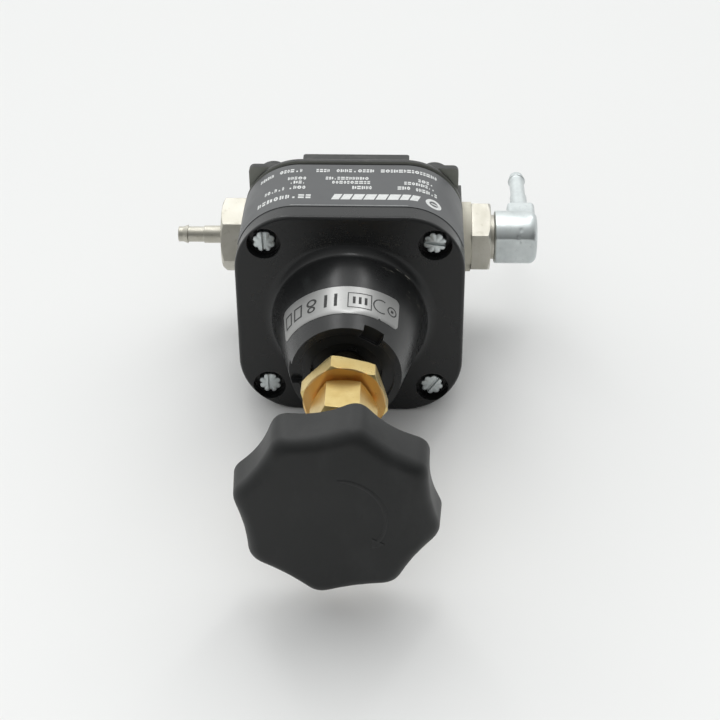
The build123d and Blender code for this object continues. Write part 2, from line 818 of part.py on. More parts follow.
# Case label: thin band over the top of the bonnet skirt and the spacer ring.
inner_width = case_width + 2 * label_lift
outer_width = inner_width + 2 * label_thickness
corner_centre = case_width / 2 - case_corner
ray = 2 * case_corner
ray_x = corner_centre + ray * cos(radians(case_label_end_angle))
ray_y = corner_centre + ray * sin(radians(case_label_end_angle))
with BuildPart() as case_label:
    with BuildSketch(across(flange_face + case_label_back)) as band_section:
        RectangleRounded(outer_width, outer_width, case_corner + label_lift + label_thickness)
        RectangleRounded(inner_width, inner_width, case_corner + label_lift, mode=Mode.SUBTRACT)
        with BuildLine():
            Polyline(
                (-corner_centre, corner_centre),
                (-ray_x, ray_y),
                (-ray_x, case_width),
                (ray_x, case_width),
                (ray_x, ray_y),
                (corner_centre, corner_centre),
                close=True,
            )
        make_face(mode=Mode.INTERSECT)
    extrude(amount=case_label_back - case_label_front)
case_label.part.label = "case_label"

# Cone label: strip round the upper side of the cone. Its long edges lean toward the flange as
# they go down the sides, as a straight strip does when it is wrapped on a cone.
label_top = cone_radius((cone_label_front + cone_label_back) / 2)
label_slack = cone_base_start
with BuildPart() as cone_label:
    with BuildSketch(axial_plane) as shell_section:
        with BuildLine():
            Polyline(
                (cone_radius(label_slack) + label_lift, flange_face - label_slack),
                (cone_radius(cone_length) + label_lift, nose_face),
                (cone_radius(cone_length) + label_lift + label_thickness, nose_face),
                (
                    cone_radius(label_slack) + label_lift + label_thickness,
                    flange_face - label_slack,
                ),
                close=True,
            )
        make_face()
    revolve(axis=control_axis)
    with BuildSketch(Plane.YZ) as strip_section:
        with BuildLine():
            Polyline(
                *[
                    (
                        flange_face - ahead + cone_label_lean * (label_top - height),
                        axis_height + height,
                    )
                    for ahead, height in (
                        (cone_label_back, -case_width),
                        (cone_label_back, case_width),
                        (cone_label_front, case_width),
                        (cone_label_front, -case_width),
                    )
                ],
                close=True,
            )
        make_face()
    extrude(amount=case_width, both=True, mode=Mode.INTERSECT)
    left_end, right_end = radians(cone_label_left), radians(cone_label_right)
    with BuildSketch(across(flange_face)) as wedge_section:
        with BuildLine():
            Polyline(
                (0, 0),
                (-case_width * sin(left_end), case_width * cos(left_end)),
                (-case_width, 2 * case_width),
                (case_width, 2 * case_width),
                (case_width * sin(right_end), case_width * cos(right_end)),
                close=True,
            )
        make_face()
    extrude(amount=cone_length, mode=Mode.INTERSECT)
cone_label.part.label = "cone_label"

pieces = [
    body, spacer_ring, bonnet, vent_screen, gland_bush, lock_washer, lock_nut,
    spring_button, adjusting_screw, knob_insert, knob, control_diaphragm, control_plate,
    control_backing, control_stem, control_nut, range_spring, relay_diaphragm, relay_plate,
    relay_piston, valve_seat, main_valve, valve_pad, bottom_plug, plug_o_ring, valve_spring,
    gauge_plug, cover_screws, straight_fitting, seal_washer, elbow_adapter, elbow_fitting,
    case_label, cone_label,
]
for piece in pieces:
    export_step(piece.part, f"parts/{piece.part.label}.step")
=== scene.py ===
import math
import random

import bmesh
import bpy
from mathutils import Matrix, Vector


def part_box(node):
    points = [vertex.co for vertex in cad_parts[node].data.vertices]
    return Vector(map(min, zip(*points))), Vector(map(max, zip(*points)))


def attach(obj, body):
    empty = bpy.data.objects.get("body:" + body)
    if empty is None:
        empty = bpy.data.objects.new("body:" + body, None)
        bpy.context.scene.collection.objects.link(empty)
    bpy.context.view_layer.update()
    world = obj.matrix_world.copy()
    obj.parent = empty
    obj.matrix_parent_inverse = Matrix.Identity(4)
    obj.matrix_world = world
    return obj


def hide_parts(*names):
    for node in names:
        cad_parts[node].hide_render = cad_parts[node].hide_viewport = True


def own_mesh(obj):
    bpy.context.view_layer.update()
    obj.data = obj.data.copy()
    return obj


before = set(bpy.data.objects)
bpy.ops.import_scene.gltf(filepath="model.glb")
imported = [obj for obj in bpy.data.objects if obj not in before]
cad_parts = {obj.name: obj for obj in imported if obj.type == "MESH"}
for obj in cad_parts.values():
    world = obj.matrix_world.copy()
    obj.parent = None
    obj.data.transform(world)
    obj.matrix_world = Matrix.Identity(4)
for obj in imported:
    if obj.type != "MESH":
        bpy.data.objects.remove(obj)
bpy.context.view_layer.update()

mm = 0.001
tau = 2 * math.pi
print("regulator: packed model loaded")

# Where the main pieces are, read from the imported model.
bonnetLow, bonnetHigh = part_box("bonnet")
screwLow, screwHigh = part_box("cover_screws")
axisZ = (bonnetLow.z + bonnetHigh.z) / 2      # height of the control axis
flangeDepth = 20.5 * mm                       # square part of the bonnet, front to back
flangeY = bonnetHigh.y - flangeDepth          # front face of the square flange
halfCase = (bonnetHigh.x - bonnetLow.x) / 2
caseCorner = 16 * mm                          # radius of the case's four corners


def nodes(name):
    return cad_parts[name]


# Mesh helpers.
def newPiece(name, data):
    piece = bpy.data.objects.new(name, data)
    bpy.context.scene.collection.objects.link(piece)
    return piece


def workIn(piece):
    # the modifiers worked into the mesh, then cleared
    bpy.context.view_layer.update()
    finished = bpy.data.meshes.new_from_object(
        piece.evaluated_get(bpy.context.evaluated_depsgraph_get())
    )
    piece.modifiers.clear()
    piece.data = finished
    return finished


def meshObject(name, verts, faces, smooth=True, sharpAngle=32):
    mesh = bpy.data.meshes.new(name)
    mesh.from_pydata([tuple(v) for v in verts], [], faces)
    bm = bmesh.new()
    bm.from_mesh(mesh)
    bmesh.ops.remove_doubles(bm, verts=bm.verts, dist=1e-7)
    bmesh.ops.recalc_face_normals(bm, faces=bm.faces)
    bm.to_mesh(mesh)
    bm.free()
    piece = newPiece(name, mesh)
    if smooth:
        mesh.shade_smooth()
        mesh.set_sharp_from_angle(angle=math.radians(sharpAngle))
    return piece


def onAxis(radius, angle, y, centre=None):
    # point round the control axis: angle from +X towards +Z
    cx, cz = centre or (0.0, axisZ)
    return Vector((cx + radius * math.cos(angle), y, cz + radius * math.sin(angle)))


def ringGrid(rings, closeStart=True, closeEnd=True):
    # rings of equal length, joined in order, with fans over the two ends
    count = len(rings[0])
    verts = [v for ring in rings for v in ring]
    faces = []
    for a in range(len(rings) - 1):
        for b in range(count):
            c = (b + 1) % count
            faces.append((a * count + b, a * count + c, (a + 1) * count + c, (a + 1) * count + b))
    for wanted, row in ((closeStart, 0), (closeEnd, len(rings) - 1)):
        if wanted:
            middle = sum((Vector(v) for v in rings[row]), Vector()) / count
            verts.append(middle)
            hub = len(verts) - 1
            faces += [(row * count + b, row * count + (b + 1) % count, hub) for b in range(count)]
    return verts, faces


def tubeGrid(rings):
    # rings joined in order, and the last one joined back to the first
    verts, faces = ringGrid(rings, False, False)
    count = len(rings[0])
    last = (len(rings) - 1) * count
    faces += [(b, (b + 1) % count, last + (b + 1) % count, last + b) for b in range(count)]
    return verts, faces


class Finish:
    # one material being wired up: add nodes, join sockets
    def __init__(self, name):
        self.material = bpy.data.materials.new(name)
        self.material.use_nodes = True
        self.tree = self.material.node_tree
        self.tree.nodes.clear()
        self.out = self.tree.nodes.new("ShaderNodeOutputMaterial")
        self.shader = self.tree.nodes.new("ShaderNodeBsdfPrincipled")
        self.tree.links.new(self.shader.outputs["BSDF"], self.out.inputs["Surface"])
        self.place = self.tree.nodes.new("ShaderNodeTexCoord").outputs["Object"]

    def node(self, kind, settings=None, **inputs):
        new = self.tree.nodes.new(kind)
        for key, value in (settings or {}).items():
            setattr(new, key, value)
        for key, value in inputs.items():
            self.feed(new.inputs[key.replace("_", " ")], value)
        return new

    def feed(self, socket, value):
        if isinstance(value, bpy.types.NodeSocket):
            self.tree.links.new(value, socket)
        else:
            socket.default_value = value

    def set(self, **inputs):
        for key, value in inputs.items():
            self.feed(self.shader.inputs[key.replace("_", " ")], value)

    def stretched(self, scale):
        # object coordinates scaled per axis, for grain that runs one way
        return self.node("ShaderNodeMapping", Vector=self.place, Scale=scale).outputs["Vector"]

    def noise(self, scale, detail=4.0, roughness=0.55, coords=None):
        return self.node(
            "ShaderNodeTexNoise",
            Vector=coords or self.place, Scale=scale, Detail=detail, Roughness=roughness,
        ).outputs["Fac"]

    def cells(self, scale, coords=None, feature="F1"):
        return self.node(
            "ShaderNodeTexVoronoi", {"feature": feature}, Vector=coords or self.place, Scale=scale
        ).outputs["Distance"]

    def span(self, value, low, high, outLow=0.0, outHigh=1.0):
        new = self.node("ShaderNodeMapRange", Value=value)
        new.inputs["From Min"].default_value = low
        new.inputs["From Max"].default_value = high
        self.feed(new.inputs["To Min"], outLow)
        self.feed(new.inputs["To Max"], outHigh)
        return new.outputs["Result"]

    def sum(self, a, b, how="ADD", clamp=True):
        new = self.tree.nodes.new("ShaderNodeMath")
        new.operation = how
        new.use_clamp = clamp
        self.feed(new.inputs[0], a)
        self.feed(new.inputs[1], b)
        return new.outputs[0]

    def blend(self, share, a, b):
        new = self.tree.nodes.new("ShaderNodeMix")
        new.data_type = "RGBA"
        self.feed(new.inputs[0], share)
        for socket, value in ((new.inputs[6], a), (new.inputs[7], b)):
            self.feed(socket, (*value, 1.0) if isinstance(value, tuple) else value)
        return new.outputs[2]

    def edges(self, radius, low=0.02, high=0.25):
        # 1 on outer edges, from how far a bevelled normal leans away from the true one
        soft = self.node("ShaderNodeBevel", {"samples": 6}, Radius=radius).outputs["Normal"]
        true = self.tree.nodes.new("ShaderNodeNewGeometry").outputs["Normal"]
        dot = self.node("ShaderNodeVectorMath", {"operation": "DOT_PRODUCT"})
        self.feed(dot.inputs[0], soft)
        self.feed(dot.inputs[1], true)
        lean = self.sum(1.0, dot.outputs["Value"], "SUBTRACT")
        return self.span(lean, low, high)

    def softened(self, radius):
        # normal rounded over sharp edges
        return self.node("ShaderNodeBevel", {"samples": 6}, Radius=radius).outputs["Normal"]

    def bump(self, height, distance, strength=1.0, under=None):
        new = self.node("ShaderNodeBump", Height=height, Distance=distance, Strength=strength)
        if under is not None:
            self.feed(new.inputs["Normal"], under)
        return new.outputs["Normal"]


def dress(piece, material):
    slots = piece.data.materials
    if len(slots) == 0:
        slots.append(material)
    for k in range(len(slots)):
        slots[k] = material


bonnetLook = {
    "black": (0.0112, 0.0117, 0.0120),
    "dusty": (0.075, 0.066, 0.046),
    "scraped": (0.22, 0.21, 0.18),
    "roughness": (0.23, 0.33),
    "specular": 0.42,
}


def bonnetEnamel():
    f = Finish("bonnetEnamel")
    look = bonnetLook
    broad = f.noise(48, 5)
    fine = f.noise(1000, 3)
    grit = f.cells(1400)
    # polar place round the control axis
    split = f.node("ShaderNodeSeparateXYZ", Vector=f.place).outputs
    across = split["X"]
    upward = f.sum(split["Z"], -axisZ, "ADD", False)
    ahead = f.sum(flangeY, split["Y"], "SUBTRACT", False)
    turn = f.sum(across, upward, "ARCTAN2", False)
    reach = f.sum(f.sum(across, 2.0, "POWER", False), f.sum(upward, 2.0, "POWER", False), "ADD", False)
    radius = f.sum(reach, 0.5, "POWER", False)
    # dust gathers above the foot of the cone
    foot = f.sum(
        f.span(radius, 21.8 * mm, 23.0 * mm), f.span(radius, 28 * mm, 23.5 * mm), "MULTIPLY"
    )
    topSide = f.span(upward, 8 * mm, 18 * mm)
    face = f.span(ahead, 4 * mm, 2 * mm)
    footArea = f.sum(f.sum(foot, topSide, "MULTIPLY"), face, "MULTIPLY")
    specks = f.span(f.noise(2600, 2, 0.6), 0.58, 0.68)
    cloud = f.span(f.noise(330, 4, 0.6), 0.46, 0.66)
    dust = f.sum(footArea, f.sum(cloud, specks, "MULTIPLY"), "MULTIPLY")
    thin = f.sum(f.span(broad, 0.55, 0.75), f.span(fine, 0.5, 0.62), "MULTIPLY")
    # scrapes low on the right side of the cone
    side = f.sum(f.span(turn, 0.42, 0.62), f.span(turn, 1.45, 1.15), "MULTIPLY")
    low = f.sum(f.span(ahead, 0.2 * mm, 1.0 * mm), f.span(ahead, 9 * mm, 4 * mm), "MULTIPLY")
    # long round the cone, narrow along it
    along = f.node("ShaderNodeCombineXYZ", X=f.sum(turn, 3 * mm, "MULTIPLY", False), Y=ahead)
    streaks = f.noise(900, 4, 0.7, along.outputs["Vector"])
    scrape = f.sum(f.sum(side, low, "MULTIPLY"), f.span(streaks, 0.60, 0.65), "MULTIPLY")
    rub = f.sum(f.edges(0.35 * mm), f.span(f.noise(260, 4), 0.45, 0.6), "MULTIPLY")
    colour = f.blend(f.sum(thin, 0.10, "MULTIPLY"), look["black"], look["dusty"])
    colour = f.blend(f.sum(dust, 0.6, "MULTIPLY"), colour, look["dusty"])
    colour = f.blend(f.sum(rub, 0.4, "MULTIPLY"), colour, (0.10, 0.10, 0.098))
    colour = f.blend(f.sum(scrape, 0.8, "MULTIPLY"), colour, look["scraped"])
    rough = f.span(broad, 0.3, 0.75, *look["roughness"])
    f.set(
        Base_Color=colour,
        Roughness=f.sum(rough, f.sum(f.sum(scrape, dust), 0.3, "MULTIPLY")),
        Normal=f.bump(grit, 0.015 * mm, 0.15, f.bump(broad, 0.06 * mm, 0.2, f.softened(0.18 * mm))),
    )
    f.shader.inputs["Specular IOR Level"].default_value = look["specular"]
    return f.material


def castEnamel(name, colour, dustAmount, specular, faceLight=0.0):
    # the last argument lightens the faces that look toward the knob: painted light, blended toward
    # pale grey
    f = Finish(name)
    broad = f.noise(70, 5)
    grain = f.cells(1500)
    dust = f.span(f.noise(420, 4), 0.5, 0.7)
    rub = f.edges(0.35 * mm)
    tone = f.blend(f.sum(dust, dustAmount, "MULTIPLY"), colour, (0.08, 0.078, 0.07))
    tone = f.blend(f.sum(rub, 0.35, "MULTIPLY"), tone, (0.10, 0.10, 0.098))
    if faceLight:
        # painted light: faces whose normal points toward the knob (-Y) are lightened toward pale grey
        # (0.33, 0.34, 0.30), standing for the light they catch
        normal = f.tree.nodes.new("ShaderNodeNewGeometry").outputs["True Normal"]
        facing = f.node("ShaderNodeSeparateXYZ", Vector=normal).outputs["Y"]
        litFaces = f.sum(f.span(facing, -0.5, -0.95), f.span(broad, 0.2, 0.7, 0.6, 1.0), "MULTIPLY")
        tone = f.blend(f.sum(litFaces, faceLight, "MULTIPLY"), tone, (0.33, 0.34, 0.30))
    f.set(
        Base_Color=tone,
        Roughness=f.span(broad, 0.3, 0.7, 0.32, 0.46),
        Normal=f.bump(grain, 0.03 * mm, 0.3, f.bump(broad, 0.05 * mm, 0.3, f.softened(0.4 * mm))),
    )
    f.shader.inputs["Specular IOR Level"].default_value = specular
    return f.material


brassLook = {
    "light": (0.74, 0.58, 0.26),
    "dark": (0.60, 0.43, 0.16),
    "tarnish": (0.34, 0.20, 0.07),
    "worn": (0.86, 0.72, 0.42),
    # face: a deeper orange copy of the brass for the gland hex's front face, painted bounce light
    # between the brass faces
    "face": (0.90, 0.54, 0.19),
}


def turnedBrass(name, light, dark, roughness):
    f = Finish(name)
    look = brassLook
    broad = f.noise(150, 5)
    rings = f.noise(90, 3, 0.6, f.stretched((0.6, 26.0, 0.6)))
    spots = f.span(f.noise(620, 5, 0.7), 0.60, 0.74)
    rub = f.edges(0.25 * mm)
    tone = f.blend(f.span(broad, 0.35, 0.7), light, dark)
    tone = f.blend(f.sum(spots, 0.4, "MULTIPLY"), tone, look["tarnish"])
    tone = f.blend(f.sum(rub, 0.45, "MULTIPLY"), tone, look["worn"])
    f.set(
        Base_Color=tone,
        Metallic=1.0,
        Roughness=f.span(f.sum(broad, rings, "ADD", False), 0.5, 1.3, *roughness),
        Normal=f.bump(rings, 0.02 * mm, 0.25, f.bump(broad, 0.05 * mm, 0.3, f.softened(0.12 * mm))),
    )
    return f.material


# Each plated metal: light tone, dark tone, least and most roughness, stain. The last, near-black entry
# is no plating: painted shade for the gland neck.
platings = {
    "dullNickel": ((0.60, 0.58, 0.52), (0.52, 0.50, 0.43), (0.34, 0.48), (0.30, 0.27, 0.2)),
    "brightZinc": ((0.70, 0.74, 0.74), (0.54, 0.58, 0.58), (0.30, 0.44), (0.34, 0.36, 0.37)),
    "plainSteel": ((0.45, 0.45, 0.45), (0.33, 0.33, 0.34), (0.3, 0.48), (0.2, 0.19, 0.18)),
    "paintedShadeThread": ((0.035, 0.030, 0.022), (0.02, 0.018, 0.014), (0.4, 0.55), (0.05, 0.04, 0.02)),
}


def platedMetal(name, light, dark, roughness, stain):
    f = Finish(name)
    broad = f.noise(160, 5)
    lines = f.noise(120, 3, 0.6, f.stretched((22.0, 1.0, 1.0)))
    spots = f.span(f.noise(520, 5, 0.7), 0.58, 0.72)
    rub = f.edges(0.25 * mm)
    tone = f.blend(f.span(broad, 0.35, 0.7), light, dark)
    tone = f.blend(f.sum(spots, 0.4, "MULTIPLY"), tone, stain)
    tone = f.blend(f.sum(rub, 0.3, "MULTIPLY"), tone, (0.9, 0.9, 0.88))
    f.set(
        Base_Color=tone,
        Metallic=1.0,
        Roughness=f.span(f.sum(broad, lines, "ADD", False), 0.5, 1.3, *roughness),
        Normal=f.bump(lines, 0.02 * mm, 0.25, f.bump(broad, 0.06 * mm, 0.35, f.softened(0.35 * mm))),
    )
    return f.material


knobLook = {
    "tone": (0.0102, 0.0109, 0.0108),
    "worn": (0.030, 0.031, 0.031),
    "roughness": (0.44, 0.56),
    "specular": 0.42,
}


def knobPlastic():
    f = Finish("knobPlastic")
    look = knobLook
    broad = f.noise(38, 5)
    pebble = f.cells(2100)
    smear = f.span(f.noise(120, 5, 0.65, f.stretched((1.0, 1.0, 0.5))), 0.5, 0.75)
    rub = f.edges(1.2 * mm)
    tone = f.blend(f.sum(smear, 0.35, "MULTIPLY"), look["tone"], look["worn"])
    tone = f.blend(f.sum(rub, 0.3, "MULTIPLY"), tone, look["worn"])
    f.set(
        Base_Color=tone,
        Roughness=f.span(broad, 0.3, 0.7, *look["roughness"]),
        Normal=f.bump(pebble, 0.03 * mm, 0.25, f.bump(broad, 0.15 * mm, 0.25)),
    )
    f.shader.inputs["Specular IOR Level"].default_value = look["specular"]
    return f.material


def labelFilm(name, colour, roughness, metal):
    f = Finish(name)
    broad = f.noise(90, 4)
    specks = f.span(f.noise(1500, 2), 0.62, 0.7)
    tone = f.blend(f.sum(specks, 0.25, "MULTIPLY"), colour, tuple(c * 0.6 + 0.05 for c in colour))
    f.set(
        Base_Color=tone,
        Metallic=metal,
        Roughness=f.span(broad, 0.3, 0.7, roughness, roughness + 0.12),
        Normal=f.bump(f.noise(700, 3), 0.01 * mm, 0.3, f.bump(broad, 0.06 * mm, 0.25)),
    )
    return f.material


def printInk(name, colour):
    f = Finish(name)
    worn = f.span(f.noise(1100, 4), 0.3, 0.7)
    f.set(
        Base_Color=f.blend(worn, colour, tuple(c * 0.8 for c in colour)),
        Roughness=f.span(worn, 0.0, 1.0, 0.5, 0.65),
    )
    return f.material


def plainRubber():
    f = Finish("blackRubber")
    f.set(
        Base_Color=f.blend(f.noise(300), (0.008, 0.008, 0.008), (0.02, 0.02, 0.02)),
        Roughness=f.span(f.noise(180), 0.3, 0.7, 0.55, 0.8),
        Normal=f.bump(f.noise(1200, 3), 0.03 * mm, 0.4),
    )
    return f.material


def paleFibre():
    f = Finish("paleFibre")
    broad = f.noise(240, 5)
    f.set(
        Base_Color=f.blend(broad, (0.80, 0.765, 0.65), (0.64, 0.61, 0.50)),
        Roughness=f.span(broad, 0.3, 0.7, 0.5, 0.65),
        Normal=f.bump(f.noise(900, 3), 0.03 * mm, 0.4),
    )
    return f.material


enamel = bonnetEnamel()
ringEnamel = castEnamel("ringEnamel", (0.009, 0.0092, 0.0095), 0.2, 0.42)
# the body's faces toward the knob get painted light (last argument 0.75)
bodyEnamel = castEnamel("bodyEnamel", (0.016, 0.0168, 0.0155), 0.4, 0.5, 0.75)
brass = turnedBrass("turnedBrass", brassLook["light"], brassLook["dark"], (0.22, 0.38))
# second brass in the face tone: painted bounce light on the gland hex's turned front face
bounceLitBrass = turnedBrass("paintedBounceBrass", brassLook["face"], brassLook["face"], (0.30, 0.45))
nickel = platedMetal("dullNickel", *platings["dullNickel"])
zinc = platedMetal("brightZinc", *platings["brightZinc"])
plainSteel = platedMetal("plainSteel", *platings["plainSteel"])
paintedShadeThread = platedMetal("paintedShadeThread", *platings["paintedShadeThread"])
knobBlack = knobPlastic()
rubber = plainRubber()
fibre = paleFibre()
darkFilm = labelFilm("darkFilm", (0.088, 0.091, 0.094), 0.40, 0.0)
silverFilm = labelFilm("silverFilm", (0.345, 0.345, 0.34), 0.30, 1.0)
whiteInk = printInk("whiteInk", (0.78, 0.79, 0.78))
blackInk = printInk("blackInk", (0.03, 0.03, 0.03))

nodeFinish = {
    "body": bodyEnamel, "spacer_ring": ringEnamel, "bonnet": enamel, "vent_screen": brass,
    "gland_bush": brass, "lock_washer": brass, "lock_nut": brass, "spring_button": plainSteel,
    "adjusting_screw": brass, "knob_insert": brass, "knob": knobBlack,
    "control_diaphragm": rubber, "control_plate": plainSteel, "control_backing": plainSteel,
    "control_stem": brass, "control_nut": plainSteel, "range_spring": plainSteel,
    "relay_diaphragm": rubber, "relay_plate": plainSteel, "relay_piston": brass,
    "valve_seat": brass, "main_valve": brass, "valve_pad": rubber, "bottom_plug": brass,
    "plug_o_ring": rubber, "valve_spring": plainSteel, "gauge_plug": zinc,
    "cover_screws": zinc, "straight_fitting": nickel, "seal_washer": fibre,
    "elbow_adapter": nickel, "elbow_fitting": zinc, "case_label": darkFilm,
    "cone_label": silverFilm,
}
for name, finish in nodeFinish.items():
    dress(nodes(name), finish)
print("regulator: finishes made")


knobShape = {
    "lobeRadius": 24.0 * mm, "valleyRadius": 21.5 * mm, "scallopRadius": 20.0 * mm,
    "draft": 0.36,                # share of each lobe's height lost at the front
    "lobes": 8, "turn": -11.7, "softness": 0.55 * mm, "dome": 1.1 * mm,
    "frontRound": 3.4 * mm, "backRound": 1.6 * mm, "pointsRound": 320, "roundSteps": 9,
    "hubHeight": 2.0 * mm,
    "hubFoot": ((13.0, 0.0), (10.5, 0.0), (9.2, 0.1), (8.5, 0.7)),      # radius and rise in mm
    "hubEnd": ((8.3, -0.2), (8.1, 0.0), (4.6, 0.0), (4.1, -0.5)),
}


def lobedRadius(shape, angle):
    # near side of a scallop circle, blended softly into the outer circle
    step = tau / shape["lobes"]
    offset = (angle - math.radians(shape["turn"])) % step - step / 2
    far = shape["valleyRadius"] + shape["scallopRadius"]
    inside = shape["scallopRadius"] ** 2 - (far * math.sin(offset)) ** 2
    scallop = far * math.cos(offset) - math.sqrt(max(inside, 0.0))
    soft = shape["softness"]
    top = shape["lobeRadius"] + 0.25 * mm
    gap = top - scallop
    return (top + scallop - math.sqrt(gap * gap + 4 * soft * soft)) / 2


def buildKnob():
    shape = knobShape
    low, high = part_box("knob")
    front, back = low.y, high.y - shape["hubHeight"]
    angles = [tau * k / shape["pointsRound"] for k in range(shape["pointsRound"])]
    outline = [lobedRadius(shape, a) for a in angles]
    biggest = max(outline)

    def drafted(r, y):
        # lobes get lower toward the front, as they leave the mould
        share = shape["draft"] * (back - y) / (back - front)
        return r - max(0.0, r - shape["valleyRadius"]) * share

    def ring(y, inset):
        return [onAxis(drafted(r, y) - inset, a, y) for r, a in zip(outline, angles)]

    def faceRing(share, reach):
        # rings over the face run from a circle in the middle to the lobed edge
        rings = []
        for r, a in zip(outline, angles):
            edge = drafted(r, front) - reach
            lobed = share ** 3
            radius = share * (edge * lobed + (shape["valleyRadius"] - reach) * (1 - lobed))
            drop = shape["dome"] * (radius / biggest) ** 2
            rings.append(onAxis(radius, a, front + drop))
        return rings

    rings = [faceRing(k / 12, shape["frontRound"]) for k in range(1, 13)]
    steps = shape["roundSteps"]
    for k in range(1, steps + 1):
        turn = math.pi / 2 * k / steps
        edge = rings[11]
        inset = shape["frontRound"] * (1 - math.sin(turn))
        extra = shape["frontRound"] * (1 - math.cos(turn))
        rings.append([
            onAxis(drafted(r, e.y + extra) - inset, a, e.y + extra)
            for r, a, e in zip(outline, angles, edge)
        ])
    rings.append(ring((front + back) / 2 + 1 * mm, 0.0))
    for k in range(steps + 1):
        turn = math.pi / 2 * k / steps
        rings.append(ring(
            back - shape["backRound"] * (1 - math.sin(turn)),
            shape["backRound"] * (1 - math.cos(turn)),
        ))
    for start, profile in ((back, shape["hubFoot"]), (high.y, shape["hubEnd"])):
        for radius, rise in profile:
            rings.append([onAxis(radius * mm, a, start + rise * mm) for a in angles])
    verts, faces = ringGrid(rings)
    piece = meshObject("knob_grip", verts, faces, sharpAngle=50)
    dress(piece, knobBlack)
    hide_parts("knob")
    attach(piece, "knob_assembly")


arrowShape = {
    "radius": 11.0 * mm, "width": 0.9 * mm, "proud": 0.12 * mm, "start": 88, "end": -32,
    "headLength": 14, "headWidth": 3.4 * mm,
}


def buildKnobArrow():
    # raised curved arrow on the face of the knob
    shape = arrowShape
    low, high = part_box("knob")
    biggest = knobShape["lobeRadius"]

    def surface(radius, lift):
        return low.y + knobShape["dome"] * (radius / biggest) ** 2 - lift

    path = []
    steps = 48
    for k in range(steps + 1):
        share = k / steps
        angle = math.radians(shape["start"] + (shape["end"] - shape["start"]) * share)
        path.append((angle, shape["width"] / 2 * min(1.0, 0.25 + share * 8)))
    headAt = math.radians(shape["end"])
    path.append((headAt, shape["headWidth"] / 2))
    for k in range(1, 7):
        share = k / 6
        path.append((
            headAt - math.radians(shape["headLength"]) * share,
            shape["headWidth"] / 2 * (1 - share) + 0.02 * mm,
        ))
    rings = []
    for angle, half in path:
        lift = shape["proud"]
        edge = min(half * 0.4, 0.15 * mm)
        section = [(-half, -0.3 * mm), (-half, lift * 0.3), (-half + edge, lift),
                   (half - edge, lift), (half, lift * 0.3), (half, -0.3 * mm)]
        rings.append([
            onAxis(shape["radius"] + across, angle, surface(shape["radius"] + across, rise))
            for across, rise in section
        ])
    verts, faces = ringGrid(rings)
    piece = meshObject("knob_arrow", verts, faces, sharpAngle=40)
    dress(piece, knobBlack)
    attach(piece, "knob_assembly")


buildKnob()
buildKnobArrow()
print("regulator: knob and arrow made")


def threadRings(yFront, yBack, crest, root, pitch, around=64, perPitch=10):
    # surface of a screw thread as a grid of rings: depth follows the helix
    rings = []
    count = max(2, int((yBack - yFront) / pitch * perPitch))
    for k in range(count + 1):
        y = yFront + (yBack - yFront) * k / count
        fade = min(1.0, (y - yFront) / pitch, (yBack - y) / pitch)
        ring = []
        for b in range(around):
            angle = tau * b / around
            phase = (y / pitch + angle / tau) % 1.0
            tooth = min(1.0, max(0.0, 1.25 - abs(phase - 0.5) * 3.4))
            radius = root + (crest - root) * tooth * max(0.0, fade)
            ring.append(onAxis(radius, angle, y))
        rings.append(ring)
    return rings


screwThread = {"crest": 3.95 * mm, "root": 3.45 * mm, "pitch": 1.0 * mm}
screwEnds = {"front": 3.3 * mm, "frontStep": 0.3 * mm, "back": 3.0 * mm, "backStep": 0.4 * mm}


def buildAdjustingScrew():
    low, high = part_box("adjusting_screw")
    ends = screwEnds
    around = 64
    rings = [[onAxis(ends["front"], tau * b / around, low.y) for b in range(around)]]
    rings += threadRings(low.y + ends["frontStep"], high.y - ends["backStep"], **screwThread)
    rings.append([onAxis(ends["back"], tau * b / around, high.y) for b in range(around)])
    verts, faces = ringGrid(rings)
    piece = meshObject("screw_thread", verts, faces, sharpAngle=60)
    dress(piece, brass)
    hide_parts("adjusting_screw")
    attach(piece, "knob_assembly")


def hexRadius(flats, angle, turn):
    step = tau / 6
    offset = (angle - math.radians(turn)) % step - step / 2
    return flats / 2 / math.cos(offset)


def hexNut(name, node, body, shape):
    # hexagon with chamfered corners, a soft edge, a turned face and a bore
    front, back = shape["front"], shape["back"]
    around = 192
    angles = [tau * k / around for k in range(around)]
    corner = shape["flats"] / 2 / math.cos(math.pi / 6)
    steps = 14
    rings = []
    chamfer = math.tan(math.radians(shape["chamferAngle"]))

    def barrel(y, end, inward):
        # allowed radius near an end: the chamfer cone
        return shape["faceRadius"] + (y - end) * inward / chamfer

    rings.append([onAxis(shape["bore"], a, front + shape["lead"]) for a in angles])
    rings.append([onAxis(shape["bore"] + shape["lead"], a, front) for a in angles])
    if shape["dish"]:
        for share in (0.3, 0.65):
            radius = shape["bore"] + (shape["faceRadius"] - shape["bore"]) * share
            rings.append([onAxis(radius, a, front + shape["dish"] * math.sin(math.pi * share))
                          for a in angles])
    rings.append([onAxis(shape["faceRadius"] - 0.05 * mm, a, front) for a in angles])
    depth = (corner - shape["faceRadius"]) * chamfer
    for k in range(steps + 1):
        y = front + depth * k / steps
        allowed = barrel(y, front, 1)
        rings.append([onAxis(min(hexRadius(shape["flats"], a, shape["turn"]), allowed), a, y)
                      for a in angles])
    for k in range(steps, -1, -1):
        y = back - depth * k / steps
        allowed = barrel(y, back, -1)
        rings.append([onAxis(min(hexRadius(shape["flats"], a, shape["turn"]), allowed), a, y)
                      for a in angles])
    rings.append([onAxis(shape["bore"] + shape["lead"], a, back) for a in angles])
    rings.append([onAxis(shape["bore"], a, back - shape["lead"]) for a in angles])
    verts, faces = tubeGrid(rings)
    piece = meshObject(name, verts, faces, sharpAngle=24)
    dress(piece, brass)
    if shape["dish"]:
        # the turned front face takes the deeper orange brass: painted bounce light
        piece.data.materials.append(bounceLitBrass)
        for face in piece.data.polygons:
            off = Vector((face.center.x, 0, face.center.z - axisZ)).length
            if off < shape["faceRadius"] - 0.1 * mm and face.center.y < front + 1 * mm:
                face.material_index = 1
    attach(piece, body)
    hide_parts(node)


